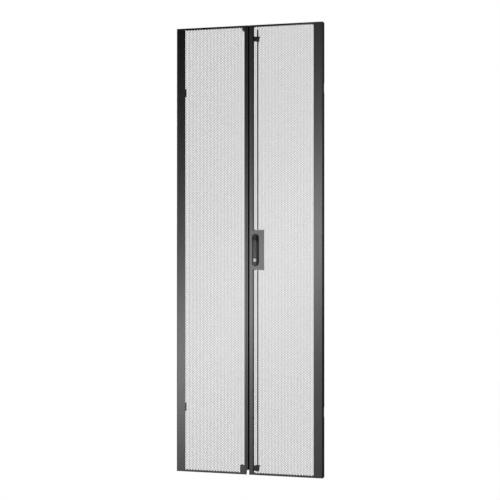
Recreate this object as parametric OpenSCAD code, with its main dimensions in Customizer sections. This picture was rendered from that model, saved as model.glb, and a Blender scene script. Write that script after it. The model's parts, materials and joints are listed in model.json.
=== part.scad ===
// Pair of perforated rack doors with a swing handle and a two-rod latch.
// +Z is up, the doors face -Y, and x = 0 is the middle of the gap between the leaves.

/* [Leaves] */
// Height of both leaves
leaf_h = 2200; // [1600:10:2400]
// Width over both leaves
pair_w = 740; // [580:10:780]
// Gap between the leaves
meeting_gap = 5; // [3:0.5:8]
// Depth of each folded leaf, front to back
leaf_depth = 40; // [36:1:60]
// Thickness of the folded sheet
sheet_t = 1.5; // [1:0.1:2]
// Outside radius of the front folds
fold_r = 3; // [2:0.5:3.5]
// Width of the lips folded inwards along the sides at the back
lip_w = 15; // [12:1:20]
// Distance from the back of the leaves to the rack frame
frame_gap = 5; // [4:0.5:10]

/* [Perforation] */
// Centre distance between neighbouring holes
hole_pitch = 8.36; // [6:0.01:12]
// Width of the web between neighbouring holes
hole_web = 1.36; // [0.6:0.01:2]
// Fine pitches that one drawn hole stands for
hole_group = 8; // [7:1:12]
// Plain width along the outer edge of each leaf
outer_stile = 44; // [40:1:60]
// Plain width along the inner edge of each leaf
inner_stile = 17.5; // [16:0.5:30]
// Plain height along the top and bottom edges
end_margin = 8; // [6:1:30]
// Height of the plain field behind the handle
handle_field_h = 190; // [185:1:300]
// Width of the plain field behind the handle, from the leaf's inner edge
handle_field_w = 75.5; // [64:0.5:110]
// Width of the plain corner at the foot of the left leaf, from its inner stile
corner_field_w = 20; // [10:1:60]
// Height of the plain corner at the foot of the left leaf
corner_field_h = 45; // [42:1:90]

/* [Meeting edge] */
// Width of the edge channel on the left leaf
edge_channel_w = 8; // [6:0.5:12]
// Depth of the edge channel, front to back
edge_channel_depth = 34; // [22:1:36]
// How far the edge channel's face lies behind the leaf's face
edge_recess = 1; // [0.5:0.1:2]
// Height of the open notch under the edge channel
edge_notch_h = 22; // [10:1:60]
// Thickness of the channels' sheet
channel_t = 1.5; // [1:0.1:2]
// Width of the lock channel in the right leaf
lock_channel_w = 16; // [12:0.5:20]
// Width of the stiffener channel in the left leaf
stiffener_w = 7; // [6:0.5:12]
// Depth of both channels
stiffener_depth = 28.5; // [22:0.5:32]

/* [Hinges] */
// Distance from each end of the leaf to the middle of its hinge
hinge_inset = 315; // [150:5:500]
// Distance from the leaf's outer edge to the hinge axis
hinge_edge = 12; // [11.5:0.5:13]
// Distance from the back of the leaf to the hinge axis
hinge_back = 12; // [11.5:0.5:13]
// Radius of the hinge pins
hinge_pin_r = 4; // [3:0.5:5]
// Length of each hinge pin above its bracket arm
hinge_pin_h = 17; // [12:0.5:18]
// Height of the notch that each hinge needs in the leaf
hinge_notch_h = 46; // [42:1:60]
// Depth of that notch in the side of the leaf
hinge_notch_depth = 6; // [6:0.5:8]
// Height of each bracket's mounting plate
bracket_h = 40; // [36:1:42]
// Thickness of the brackets
bracket_t = 3; // [2.5:0.5:3.5]
// Thickness of the bracket arms
arm_t = 4; // [3:0.5:5]
// Height of the hinge knuckles
knuckle_h = 15; // [10:0.5:16]
// Thickness of the hinge washers
hinge_washer_t = 1.5; // [1:0.1:2]
// Radius of the mounting screw holes in the brackets
bracket_hole_r = 3.3; // [2.5:0.1:3.5]
// Height between the mounting screw holes
bracket_hole_spacing = 26; // [22:1:28]

/* [Handle] */
// Distance from the right leaf's inner edge to the middle of the handle
handle_edge = 32.5; // [32.5:0.5:40]
// Height of the handle's turning axis above the middle of the leaf
handle_axis_up = 58; // [50:1:70]
// Length of the handle base
handle_base_h = 158; // [150:1:175]
// Width of the handle base
handle_base_w = 34; // [32:0.5:40]
// Thickness of the handle base
handle_base_t = 4; // [3:0.5:6]
// How far the handle stands in front of the leaf
handle_proud = 15; // [14:0.5:20]
// Width of the lever
lever_w = 25; // [23:0.5:28]
// Radius of the lever pin
lever_pin_r = 2; // [1.5:0.1:2.2]
// Radius of the handle's shaft
shaft_r = 6; // [5:0.5:6.5]
// Radius of the lock barrel
barrel_r = 8.5; // [7:0.5:9]
// Radius of the lock plug
plug_r = 5.5; // [4:0.5:6]
// How far the lock barrel stands out of the lever
barrel_proud = 0.6; // [0.2:0.1:1.5]

/* [Rod latch] */
// Radius on which the cam pins turn
cam_r = 12; // [11.5:0.1:12.5]
// Radius of the cam pins
cam_pin_r = 2.5; // [2:0.1:3]
// Thickness of the cam
cam_t = 3; // [2:0.5:4]
// Radius of the rods
rod_r = 3; // [2.5:0.1:3.5]
// Distance from the right leaf's inner edge to the middle of the rods
rod_edge = 38.5; // [38:0.5:40]
// Distance from the front of the leaf to the middle of the rods
rod_back = 20; // [19.5:0.5:22]
// Distance from the leaf's top to the upper rod's end
upper_rod_inset = 20; // [20:1:60]
// Distance from the leaf's foot to the lower rod's end
lower_rod_inset = 14; // [12:1:60]
// Radius of the rod tips
rod_tip_r = 4; // [3.8:0.1:4.5]
// Distance from the leaf's top to the middle of the upper guide
upper_guide_inset = 66; // [60:1:120]
// Height of the upper guide
upper_guide_h = 22; // [16:1:30]
// Distance from the leaf's foot to the middle of the lower guide
lower_guide_inset = 31; // [30:1:90]
// Height of the lower guide
lower_guide_h = 26; // [20:1:28]

/* [Fittings] */
// Height of the moulded block in the left leaf's upper corner
corner_block_h = 23.5; // [20:0.5:30]
// Width of that block
upper_block_w = 19.5; // [14:0.5:22]
// Distance from each end of the leaf to its outermost bumpers
bumper_inset = 60; // [40:1:120]
// Radius of the bumpers
bumper_r = 5; // [4:0.5:6]
// Radius of the earth studs
earth_r = 3; // [2.5:0.5:4]
// Height of the earth studs above the leaf's foot
earth_z = 90; // [60:1:140]

/* [Fits] */
// Radial clearance between a shaft or pin and its bore
running_gap = 0.05; // [0.02:0.01:0.1]
// Clearance between parts that pass or rest near each other
side_gap = 0.3; // [0.2:0.05:0.4]

/* [Hidden] */
$fn = 48;
EPS = 0.01;
FAR = 4000;

// Depth levels, front to back; the whole set is centred on y = 0
front_y = handle_proud - (handle_proud + leaf_depth + frame_gap) / 2;
sheet_y = front_y + sheet_t;
back_y = front_y + leaf_depth;
frame_y = back_y + frame_gap;

// Inside radius of the front folds
inner_fold_r = fold_r - sheet_t;

// Leaf edges across the pair
outer_x = pair_w / 2;
right_inner_x = meeting_gap / 2;
left_inner_x = -meeting_gap / 2 - edge_channel_w;
left_field_x = -meeting_gap / 2 - inner_stile;
right_field_x = right_inner_x + inner_stile;
field_outer_x = outer_x - outer_stile;

// Drawn perforation
drawn_pitch = hole_pitch * hole_group;
drawn_flat = (hole_pitch - hole_web) * hole_group;
column_step = drawn_pitch * cos(30);

// Hinges
hinge_x = outer_x - hinge_edge;
hinge_y = back_y - hinge_back;
hinge_zs = [hinge_inset, leaf_h - hinge_inset];
knuckle_z = arm_t / 2 + hinge_washer_t + side_gap;
knuckle_r = hinge_pin_r + 4;

// Handle
handle_x = right_inner_x + handle_edge;
mid_z = leaf_h / 2;
hub_z = mid_z + handle_axis_up;
base_top_z = hub_z + handle_base_w / 2 + 4;
base_foot_z = base_top_z - handle_base_h;
base_y = front_y - handle_base_t;
lever_back_y = base_y - side_gap;
handle_front_y = front_y - handle_proud;
lever_front_y = handle_front_y + barrel_proud;
lever_t = lever_back_y - lever_front_y;
lever_pin_z = hub_z - 14;
lever_pin_y = (lever_back_y + lever_front_y) / 2;
knuckle_round_r = lever_t / 2;
lever_foot_z = base_foot_z + (handle_base_w - lever_w) / 2;
barrel_z = lever_foot_z + lever_w / 2 + 13;
hub_r = lever_w / 2;
hub_inner_w = lever_w - 9;
crown_r = lever_w;
base_boss_r = 4.5;
base_screw_zs = [base_foot_z + handle_base_w / 2, lever_pin_z - 16];
shaft_boss_r = shaft_r + 3;

// Rod latch
rod_x = right_inner_x + rod_edge;
rod_y = front_y + rod_back;
socket_r = rod_r + 1.75;
cam_y = rod_y + socket_r + 0.75;
cam_back_y = cam_y + cam_t;
cam_disc_r = cam_r + cam_pin_r + 2;
fork_t = 3;
upper_fork_y = rod_y - fork_t / 2;
lower_fork_y = cam_back_y + 1;
rod_travel = cam_r * sqrt(2);
pin_side = cam_r / sqrt(2);
fork_gap = 0.45;
prong_t = 4;
fork_back = cam_r - pin_side + cam_pin_r + 1;
jog_h = 10;
socket_h = 14;
upper_jog_z = hub_z + shaft_r + rod_travel + 1;
lower_block_z = hub_z - cam_disc_r - rod_travel - 1;
upper_rod_end_z = leaf_h - upper_rod_inset;
upper_guide_z = leaf_h - upper_guide_inset;
channel_x = right_inner_x + sheet_t + lock_channel_w;

// Fittings inside the leaves
bumper_zs = [bumper_inset, leaf_h / 3, leaf_h * 2 / 3, leaf_h - bumper_inset];
earth_x = outer_x - lip_w / 2;
earth_head_r = earth_r + 2;
earth_nut_r = earth_r + 2.8;

SHEET = [0.10, 0.10, 0.11];
STEEL = [0.62, 0.62, 0.63];
ZINC = [0.72, 0.73, 0.75];
PLASTIC = [0.05, 0.05, 0.05];
GRAPHITE = [0.16, 0.16, 0.17];
BRIGHT = [0.88, 0.88, 0.88];
RUBBER = [0.03, 0.03, 0.03];

// ---- Shared shapes ----

// Box from its lowest corner to its highest corner
module span(low, high) {
    translate(low) cube(high - low);
}

// Cylinder along +X from a point
module rod_along_x(p, r, h) {
    translate(p) rotate([0, 90, 0]) cylinder(r = r, h = h);
}

// Cylinder along +Y from a point
module rod_along_y(p, r, h) {
    translate(p) rotate([-90, 0, 0]) cylinder(r = r, h = h);
}

// Block whose four front edges are rounded, front face at y0
module folded_block(x0, x1, y0, y1, z0, z1, r) {
    intersection() {
        translate([0, 0, z0]) linear_extrude(z1 - z0) {
            translate([x0, y0 + r]) square([x1 - x0, y1 - y0 - r]);
            translate([x0 + r, y0]) square([x1 - x0 - 2 * r, r + EPS]);
            for (x = [x0 + r, x1 - r]) translate([x, y0 + r]) circle(r);
        }
        translate([x0, 0, 0]) rotate([90, 0, 90]) linear_extrude(x1 - x0) {
            translate([y0 + r, z0]) square([y1 - y0 - r, z1 - z0]);
            translate([y0, z0 + r]) square([r + EPS, z1 - z0 - 2 * r]);
            for (z = [z0 + r, z1 - r]) translate([y0 + r, z]) circle(r);
        }
    }
}

// Oblong plate with round ends, standing in XZ
module oblong(x, z0, z1, w, y0, t) {
    r = w / 2;
    span([x - r, y0, z0 + r], [x + r, y0 + t, z1 - r]);
    for (z = [z0 + r, z1 - r]) rod_along_y([x, y0, z], r, t);
}

// Screw with a domed head, head towards +Y
module rear_screw(p, r, reach, head_r, head_h) {
    rod_along_y(p - [0, reach, 0], r, reach);
    difference() {
        rod_along_y(p, head_r, head_h);
        translate(p + [0, head_h / 2, 0]) rotate([-90, 0, 0]) cylinder(r = r * 0.6, h = head_h, $fn = 6);
    }
}

// ---- Perforated leaves ----

// Honeycomb of six-sided holes that fills a field with whole holes and leaves the keep-out field plain
module perforation(x0, x1, z0, z1, keep) {
    half_w = drawn_flat / sqrt(3);
    columns = floor((x1 - x0 - 2 * half_w) / column_step) + 1;
    rows = floor((z1 - z0 - drawn_flat) / drawn_pitch) + 1;
    start_x = (x0 + x1 - (columns - 1) * column_step) / 2;
    start_z = (z0 + z1 - (rows - 1) * drawn_pitch) / 2;
    for (c = [0 : columns - 1], k = [0 : rows - 1 - c % 2]) {
        x = start_x + c * column_step;
        z = start_z + (k + (c % 2) / 2) * drawn_pitch;
        clear = x + half_w < keep[0] || x - half_w > keep[1]
            || z + drawn_flat / 2 < keep[2] || z - drawn_flat / 2 > keep[3];
        if (clear)
            translate([x, front_y - 1, z]) rotate([-90, 0, 0])
                cylinder(r = half_w, h = sheet_t + 2, $fn = 6);
    }
}

// Folded pan with returns on all four sides and lips along its two sides
module leaf_pan(x0, x1) {
    difference() {
        folded_block(x0, x1, front_y, back_y, 0, leaf_h, fold_r);
        folded_block(x0 + sheet_t, x1 - sheet_t, sheet_y, back_y - sheet_t,
            sheet_t, leaf_h - sheet_t, inner_fold_r);
        span([x0 + lip_w, back_y - 2 * sheet_t, sheet_t], [x1 - lip_w, back_y + 1, leaf_h - sheet_t]);
    }
}

// Cut through the back lip and the side return at each hinge; side is -1 left, 1 right
module hinge_notches(side) {
    for (z = hinge_zs) {
        notch_x = side * (outer_x + 1);
        lip_x = side * (outer_x - lip_w - 1);
        span([min(notch_x, lip_x), back_y - hinge_notch_depth, z - hinge_notch_h / 2],
            [max(notch_x, lip_x), back_y + 1, z + hinge_notch_h / 2]);
    }
}

// Opens the foot of the left leaf's inner edge behind the front fold
module foot_opening() {
    span([left_inner_x - lip_w - 1, front_y + fold_r + 1, -1], [left_inner_x + 1, back_y + 1, edge_notch_h]);
}

module left_leaf_sheet() {
    color(SHEET) difference() {
        leaf_pan(-outer_x, left_inner_x);
        perforation(-field_outer_x, left_field_x, end_margin, leaf_h - end_margin,
            [left_field_x - corner_field_w, left_field_x, 0, corner_field_h]);
        hinge_notches(-1);
        earth_hole(-1);
        foot_opening();
    }
}

module right_leaf_sheet() {
    color(SHEET) difference() {
        leaf_pan(right_inner_x, outer_x);
        perforation(right_field_x, field_outer_x, end_margin, leaf_h - end_margin,
            [right_field_x, right_inner_x + handle_field_w,
             mid_z - handle_field_h / 2, mid_z + handle_field_h / 2]);
        hinge_notches(1);
        earth_hole(1);
        rod_along_y([handle_x, front_y - 1, hub_z], shaft_boss_r + side_gap, sheet_t + 2);
        for (z = base_screw_zs)
            rod_along_y([handle_x, front_y - 1, z], base_boss_r + side_gap, sheet_t + 2);
    }
}

// U channel that closes the gap from the left leaf's inner edge, with its open side on that leaf
module left_edge_channel() {
    x0 = left_inner_x;
    x1 = -meeting_gap / 2;
    y0 = front_y + edge_recess;
    r = 2;
    color(SHEET) translate([0, 0, edge_notch_h]) linear_extrude(leaf_h - edge_notch_h) difference() {
        union() {
            translate([x0, y0]) square([x1 - x0 - r, edge_channel_depth]);
            translate([x0, y0 + r]) square([x1 - x0, edge_channel_depth - r]);
            translate([x1 - r, y0 + r]) circle(r);
        }
        translate([x0 - 1, y0 + channel_t])
            square([x1 - x0 - channel_t + 1, edge_channel_depth - 2 * channel_t]);
    }
}

// U channel beside an inner return, its web towards the middle of the leaf, drawn for the right leaf
module stiffener(w, z0, z1) {
    flange_x = right_inner_x + sheet_t + inner_fold_r;
    web_x = right_inner_x + sheet_t + w;
    translate([0, 0, z0]) linear_extrude(z1 - z0) difference() {
        translate([flange_x, sheet_y]) square([web_x - flange_x, stiffener_depth]);
        translate([flange_x - 1, sheet_y + channel_t])
            square([web_x - flange_x - channel_t + 1, stiffener_depth - 2 * channel_t]);
    }
}

module left_stiffener() {
    color(SHEET) translate([left_inner_x + right_inner_x, 0, 0]) mirror([1, 0, 0])
        stiffener(stiffener_w, corner_field_h + 5, leaf_h - fold_r - corner_block_h - 5);
}

// The web is cut away where the cam and the upper fork move
module lock_channel() {
    color(SHEET) difference() {
        stiffener(lock_channel_w, fold_r, leaf_h - fold_r);
        span([handle_x - pin_side - fork_back - prong_t - 1, sheet_y + 4, hub_z - cam_disc_r - 2],
            [channel_x + 1, cam_back_y + 3, upper_jog_z + jog_h + 1]);
        guide_screw_holes();
    }
}

// ---- Hinges ----

// Mounting plate on the rack frame with the cranked arm that carries the pin, drawn for the right side
module bracket(z) {
    arm_reach = 24;
    neck_x = hinge_x - arm_reach;
    plate_y = frame_y - bracket_t;
    difference() {
        union() {
            span([neck_x, plate_y, z - bracket_h / 2], [hinge_x, frame_y, z + bracket_h / 2]);
            span([neck_x, hinge_y - 7, z - arm_t / 2], [hinge_x, hinge_y + 7, z + arm_t / 2]);
            span([neck_x, hinge_y, z - arm_t / 2], [hinge_x - 10, plate_y + EPS, z + arm_t / 2]);
            translate([hinge_x, hinge_y, z - arm_t / 2]) cylinder(r = 7, h = arm_t);
        }
        for (dz = [-1, 1] * bracket_hole_spacing / 2)
            rod_along_y([hinge_x - arm_reach / 2, plate_y - 1, z + dz], bracket_hole_r, bracket_t + 2);
        translate([hinge_x, hinge_y, z - arm_t]) cylinder(r = hinge_pin_r + running_gap, h = 2 * arm_t);
    }
}

// Block in the corner of the leaf that turns on the pin, drawn for the right side
module knuckle(z) {
    wall_x = outer_x - sheet_t;
    difference() {
        union() {
            translate([hinge_x, hinge_y, z + knuckle_z]) cylinder(r = knuckle_r, h = knuckle_h);
            span([hinge_x, hinge_y - knuckle_r, z + knuckle_z],
                [wall_x, hinge_y + hinge_back - hinge_notch_depth, z + knuckle_z + knuckle_h]);
            span([hinge_x - knuckle_r, sheet_y, z + knuckle_z], [wall_x, hinge_y, z + knuckle_z + knuckle_h]);
        }
        translate([hinge_x, hinge_y, z]) cylinder(r = hinge_pin_r + running_gap, h = FAR / 100);
        span([wall_x - inner_fold_r, sheet_y - 1, z], [wall_x + 1, sheet_y + inner_fold_r, z + FAR / 100]);
    }
}

module left_upper_bracket() { color(ZINC) mirror([1, 0, 0]) bracket(hinge_zs[1]); }
module left_lower_bracket() { color(ZINC) mirror([1, 0, 0]) bracket(hinge_zs[0]); }
module right_upper_bracket() { color(ZINC) bracket(hinge_zs[1]); }
module right_lower_bracket() { color(ZINC) bracket(hinge_zs[0]); }

module left_upper_knuckle() { color(PLASTIC) mirror([1, 0, 0]) knuckle(hinge_zs[1]); }
module left_lower_knuckle() { color(PLASTIC) mirror([1, 0, 0]) knuckle(hinge_zs[0]); }
module right_upper_knuckle() { color(PLASTIC) knuckle(hinge_zs[1]); }
module right_lower_knuckle() { color(PLASTIC) knuckle(hinge_zs[0]); }

module hinge_pins() {
    color(STEEL) for (x = [-hinge_x, hinge_x], z = hinge_zs)
        translate([x, hinge_y, z - arm_t / 2]) {
            cylinder(r = hinge_pin_r, h = arm_t + hinge_pin_h - 1);
            translate([0, 0, arm_t + hinge_pin_h - 1]) cylinder(r1 = hinge_pin_r, r2 = hinge_pin_r - 1, h = 1);
        }
}

module hinge_washers() {
    color(PLASTIC) for (x = [-hinge_x, hinge_x], z = hinge_zs)
        translate([x, hinge_y, z + arm_t / 2]) difference() {
            cylinder(r = 7, h = hinge_washer_t);
            translate([0, 0, -1]) cylinder(r = hinge_pin_r + running_gap, h = hinge_washer_t + 2);
        }
}

// ---- Fittings inside the leaves ----

// Moulded block in a corner of the left leaf, cut back on its free corner
module corner_block(w, z0, z1, cut_low) {
    x1 = left_inner_x - fold_r;
    cut = 5;
    corner_z = cut_low ? z0 : z1;
    color(PLASTIC) difference() {
        span([x1 - w, sheet_y, z0], [x1, rod_y, z1]);
        translate([x1 - w, (sheet_y + rod_y) / 2, corner_z]) rotate([0, 45, 0])
            cube([cut * sqrt(2), FAR, cut * sqrt(2)], center = true);
        span([x1 - w + 4, sheet_y + 4, z0 + 4], [x1 - 4, rod_y + 1, z1 - 4]);
    }
}

module left_upper_corner_block() {
    corner_block(upper_block_w, leaf_h - fold_r - corner_block_h, leaf_h - fold_r, true);
}

module left_lower_corner_block() {
    corner_block(corner_field_w + inner_stile - edge_channel_w - fold_r, fold_r, corner_field_h - 4, false);
}

// Round bumpers on the back lips
module bumpers(x, zs) {
    color(RUBBER) for (z = zs) translate([x, back_y, z]) rotate([-90, 0, 0]) {
        cylinder(r = bumper_r, h = 2);
        translate([0, 0, 2]) cylinder(r1 = bumper_r, r2 = bumper_r - 1, h = frame_gap - 3);
    }
}

module left_bumpers() { bumpers(left_inner_x - lip_w / 2, bumper_zs); }
module right_bumpers() { bumpers(right_inner_x + lip_w / 2, bumper_zs); }

// Earth stud through the back lip of each leaf
module earth_hole(side) {
    rod_along_y([side * earth_x, back_y - 2 * sheet_t, earth_z], earth_r + running_gap, 3 * sheet_t);
}

module earth_stud(side) {
    color(ZINC) rod_along_y([side * earth_x, back_y - 12, earth_z], earth_r, 12);
    color(ZINC) rod_along_y([side * earth_x, back_y, earth_z], earth_head_r, 1.5);
}

module earth_nut(side) {
    color(ZINC) translate([side * earth_x, back_y - sheet_t - 5, earth_z]) rotate([-90, 0, 0]) difference() {
        cylinder(r = earth_nut_r, h = 5, $fn = 6);
        translate([0, 0, -1]) cylinder(r = earth_r + running_gap, h = 7);
    }
}

module left_earth_stud() { earth_stud(-1); }
module right_earth_stud() { earth_stud(1); }
module left_earth_nut() { earth_nut(-1); }
module right_earth_nut() { earth_nut(1); }

// ---- Swing handle ----

module handle_base() {
    color(PLASTIC) difference() {
        union() {
            oblong(handle_x, base_foot_z, base_top_z, handle_base_w, base_y, handle_base_t);
            rod_along_y([handle_x, front_y, hub_z], shaft_boss_r, rod_y - socket_r - 1 - front_y);
            for (z = base_screw_zs) rod_along_y([handle_x, front_y, z], base_boss_r, sheet_t);
        }
        rod_along_y([handle_x, base_y - 1, hub_z], shaft_r + running_gap, FAR / 40);
        for (z = base_screw_zs)
            rod_along_y([handle_x, base_y + 1, z], 2 + running_gap, FAR / 40);
    }
}

module handle_washers() {
    color(ZINC) for (z = base_screw_zs) difference() {
        rod_along_y([handle_x, sheet_y, z], 7, 1.2);
        rod_along_y([handle_x, sheet_y - 1, z], 2.3, 4);
    }
}

module handle_screws() {
    color(ZINC) for (z = base_screw_zs) rear_screw([handle_x, sheet_y + 1.2, z], 2, 5, 4, 2.8);
}

// Upright cylinder whose front gives the hub and the lever their crowned face
module crown() {
    translate([handle_x, lever_front_y + crown_r, base_foot_z]) cylinder(r = crown_r, h = handle_base_h, $fn = 96);
}

// Turning boss with two ears for the lever pin, and the shaft to the cam
module handle_hub() {
    color(PLASTIC) difference() {
        union() {
            intersection() {
                union() {
                    rod_along_y([handle_x, lever_front_y, hub_z], hub_r, lever_t);
                    span([handle_x - hub_r, lever_front_y, lever_pin_z],
                        [handle_x + hub_r, lever_back_y, hub_z]);
                    rod_along_x([handle_x - hub_r, lever_pin_y, lever_pin_z], knuckle_round_r, 2 * hub_r);
                }
                crown();
            }
            rod_along_y([handle_x, lever_back_y - EPS, hub_z], shaft_r, cam_y - lever_back_y + EPS);
            span([handle_x - 4, cam_y - EPS, hub_z - 4], [handle_x + 4, cam_back_y, hub_z + 4]);
        }
        span([handle_x - hub_inner_w / 2, lever_front_y - 1, lever_pin_z - FAR / 100],
            [handle_x + hub_inner_w / 2, lever_back_y + side_gap / 2, lever_pin_z + knuckle_round_r + 1]);
        rod_along_x([handle_x - FAR / 100, lever_pin_y, lever_pin_z], lever_pin_r + running_gap, FAR / 50);
        rod_along_y([handle_x, lever_front_y - 1, hub_z + 3], 2.2, 2.2);
        rod_along_y([handle_x, cam_back_y - 12, hub_z], 2.5 + running_gap, 13);
    }
}

module lever_pin() {
    color(STEEL) rod_along_x([handle_x - hub_r + 1, lever_pin_y, lever_pin_z], lever_pin_r, 2 * hub_r - 2);
}

// Lever with a crowned front, a tongue for the pin and a bore for the lock barrel
module handle_lever() {
    top_z = lever_pin_z - knuckle_round_r - 1;
    tongue_w = hub_inner_w - 2 * side_gap;
    color(GRAPHITE) difference() {
        union() {
            intersection() {
                union() {
                    span([handle_x - lever_w / 2, lever_front_y, lever_foot_z + lever_w / 2],
                        [handle_x + lever_w / 2, lever_back_y, top_z]);
                    rod_along_y([handle_x, lever_front_y, lever_foot_z + lever_w / 2], lever_w / 2, lever_t);
                }
                crown();
            }
            span([handle_x - tongue_w / 2, lever_pin_y - knuckle_round_r + 0.3, top_z - 4],
                [handle_x + tongue_w / 2, lever_pin_y + knuckle_round_r - 0.3, lever_pin_z]);
            rod_along_x([handle_x - tongue_w / 2, lever_pin_y, lever_pin_z], knuckle_round_r - 0.3, tongue_w);
        }
        rod_along_x([handle_x - FAR / 100, lever_pin_y, lever_pin_z], lever_pin_r + running_gap, FAR / 50);
        rod_along_y([handle_x, lever_front_y - 1, barrel_z], barrel_r + running_gap, lever_t + 2);
    }
}

module lock_barrel() {
    color(BRIGHT) difference() {
        rod_along_y([handle_x, handle_front_y, barrel_z], barrel_r, lever_t + barrel_proud);
        rod_along_y([handle_x, handle_front_y - 1, barrel_z], plug_r + running_gap, lever_t + 3);
    }
}

module lock_plug() {
    slot_w = 1.6;
    slot_h = 7;
    color(BRIGHT) difference() {
        rod_along_y([handle_x, handle_front_y + 0.2, barrel_z], plug_r, lever_t + barrel_proud - 0.2);
        span([handle_x - slot_w / 2, handle_front_y - 1, barrel_z - slot_h / 2],
            [handle_x + slot_w / 2, handle_front_y + 6, barrel_z + slot_h / 2]);
    }
}

// ---- Rod latch ----

module cam() {
    color(ZINC) difference() {
        rod_along_y([handle_x, cam_y, hub_z], cam_disc_r, cam_t);
        span([handle_x - 4 - running_gap, cam_y - 1, hub_z - 4 - running_gap],
            [handle_x + 4 + running_gap, cam_back_y + 1, hub_z + 4 + running_gap]);
        for (s = [-1, 1])
            rod_along_y([handle_x + s * pin_side, cam_y - 1, hub_z - s * pin_side], cam_pin_r, cam_t + 2);
    }
}

// The left pin points forward to the upper fork, the right pin points back to the lower fork
module cam_pins() {
    color(STEEL) {
        rod_along_y([handle_x - pin_side, upper_fork_y - 0.5, hub_z + pin_side], cam_pin_r,
            cam_back_y - upper_fork_y + 0.5);
        rod_along_y([handle_x + pin_side, cam_y, hub_z - pin_side], cam_pin_r,
            lower_fork_y + fork_t + 0.5 - cam_y);
    }
}

module cam_screw() {
    color(ZINC) rear_screw([handle_x, cam_back_y, hub_z], 2.5, 10, 5, 3);
}

// Two prongs round a cam pin, open towards the shaft; drawn with the pin at the origin, shaft towards +X
module fork_prongs(y0) {
    reach = pin_side - shaft_r - 1;
    mouth = cam_pin_r + fork_gap;
    difference() {
        span([-fork_back - prong_t, y0, -mouth - prong_t], [reach, y0 + fork_t, mouth + prong_t]);
        span([-fork_back, y0 - 1, -mouth], [reach + 1, y0 + fork_t + 1, mouth]);
    }
}

module upper_rod_fork() {
    x0 = handle_x - pin_side - fork_back - prong_t;
    z0 = hub_z + pin_side + cam_pin_r + fork_gap;
    color(ZINC) difference() {
        union() {
            translate([handle_x - pin_side, 0, hub_z + pin_side]) fork_prongs(upper_fork_y);
            span([x0, upper_fork_y, z0], [handle_x - shaft_r - 1, upper_fork_y + fork_t, upper_jog_z + jog_h]);
            span([x0, upper_fork_y, upper_jog_z], [rod_x, upper_fork_y + fork_t, upper_jog_z + jog_h]);
            translate([rod_x, rod_y, upper_jog_z]) cylinder(r = socket_r, h = socket_h);
        }
        translate([rod_x, rod_y, upper_jog_z + 2]) cylinder(r = rod_r + running_gap, h = socket_h);
        rod_along_x([rod_x, rod_y, upper_jog_z + 11.5], 1.5 + running_gap, socket_r + 1);
    }
}

module lower_rod_fork() {
    x1 = handle_x + pin_side + fork_back + prong_t;
    z1 = hub_z - pin_side - cam_pin_r - fork_gap;
    block_z = lower_block_z - socket_h;
    color(ZINC) difference() {
        union() {
            translate([handle_x + pin_side, 0, hub_z - pin_side]) mirror([1, 0, 0]) fork_prongs(lower_fork_y);
            span([rod_x, lower_fork_y, block_z], [x1, lower_fork_y + fork_t, z1]);
            span([rod_x - socket_r, rod_y, block_z], [rod_x + socket_r, lower_fork_y + fork_t, lower_block_z]);
            translate([rod_x, rod_y, block_z]) cylinder(r = socket_r, h = socket_h);
        }
        translate([rod_x, rod_y, block_z - 1]) cylinder(r = rod_r + running_gap, h = socket_h - 1);
        rod_along_x([rod_x, rod_y, block_z + 4], 1.5 + running_gap, socket_r + 1);
    }
}

module grub_screw(z) {
    color(STEEL) rod_along_x([rod_x + rod_r, rod_y, z], 1.5, socket_r - rod_r);
}

module upper_grub_screw() { grub_screw(upper_jog_z + 11.5); }
module lower_grub_screw() { grub_screw(lower_block_z - socket_h + 4); }

module upper_rod() {
    z0 = upper_jog_z + 2 + side_gap;
    color(STEEL) translate([rod_x, rod_y, z0]) cylinder(r = rod_r, h = upper_rod_end_z - 4 - z0);
}

module lower_rod() {
    z1 = lower_block_z - 2 - side_gap;
    color(STEEL) translate([rod_x, rod_y, lower_rod_inset + 4]) cylinder(r = rod_r, h = z1 - lower_rod_inset - 4);
}

// Sleeve on the end of a rod with a rounded nose, its nose up
module rod_tip(length) {
    difference() {
        union() {
            cylinder(r = rod_tip_r, h = length - 2);
            translate([0, 0, length - 2]) cylinder(r1 = rod_tip_r, r2 = rod_tip_r - 1.5, h = 2);
        }
        translate([0, 0, -1]) cylinder(r = rod_r + running_gap, h = length - 3 + side_gap);
    }
}

module upper_rod_tip() {
    z0 = upper_guide_z - upper_guide_h / 2 - 5;
    color(PLASTIC) translate([rod_x, rod_y, z0]) rod_tip(upper_rod_end_z - z0);
}

module lower_rod_tip() {
    z1 = lower_guide_inset + lower_guide_h / 2 + 4;
    color(PLASTIC) translate([rod_x, rod_y, z1]) mirror([0, 0, 1]) rod_tip(z1 - lower_rod_inset);
}

// Moulded guide on the lock channel, with a finger towards the middle of the leaf
module rod_guide(z, h, shoulder) {
    x1 = rod_x + rod_tip_r + 3;
    y0 = rod_y - rod_tip_r - 3;
    y1 = rod_y + rod_tip_r + 3;
    color(PLASTIC) difference() {
        union() {
            span([channel_x, y0, z - h / 2], [x1, y1, z + h / 2]);
            span([x1 - EPS, y0, z + h / 2 - 5], [x1 + 4, y1, z + h / 2]);
            rod_along_y([x1 + 4, y0, z + h / 2 - 2.5], 2.5, y1 - y0);
        }
        translate([rod_x, rod_y, z - h]) cylinder(r = rod_tip_r + running_gap, h = 2 * h);
        translate([channel_x, 0, z + h / 2]) rotate([0, 45, 0])
            cube([shoulder * sqrt(2), FAR, shoulder * sqrt(2)], center = true);
        for (dz = [-1, 1]) rod_along_x([channel_x - 1, rod_y, z + dz * guide_screw_up(h)], 1.5, 8);
    }
}

function guide_screw_up(h) = h / 2 - 6;

module upper_rod_guide() { rod_guide(upper_guide_z, upper_guide_h, 0.01); }
module lower_rod_guide() { rod_guide(lower_guide_inset, lower_guide_h, 6); }

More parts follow.
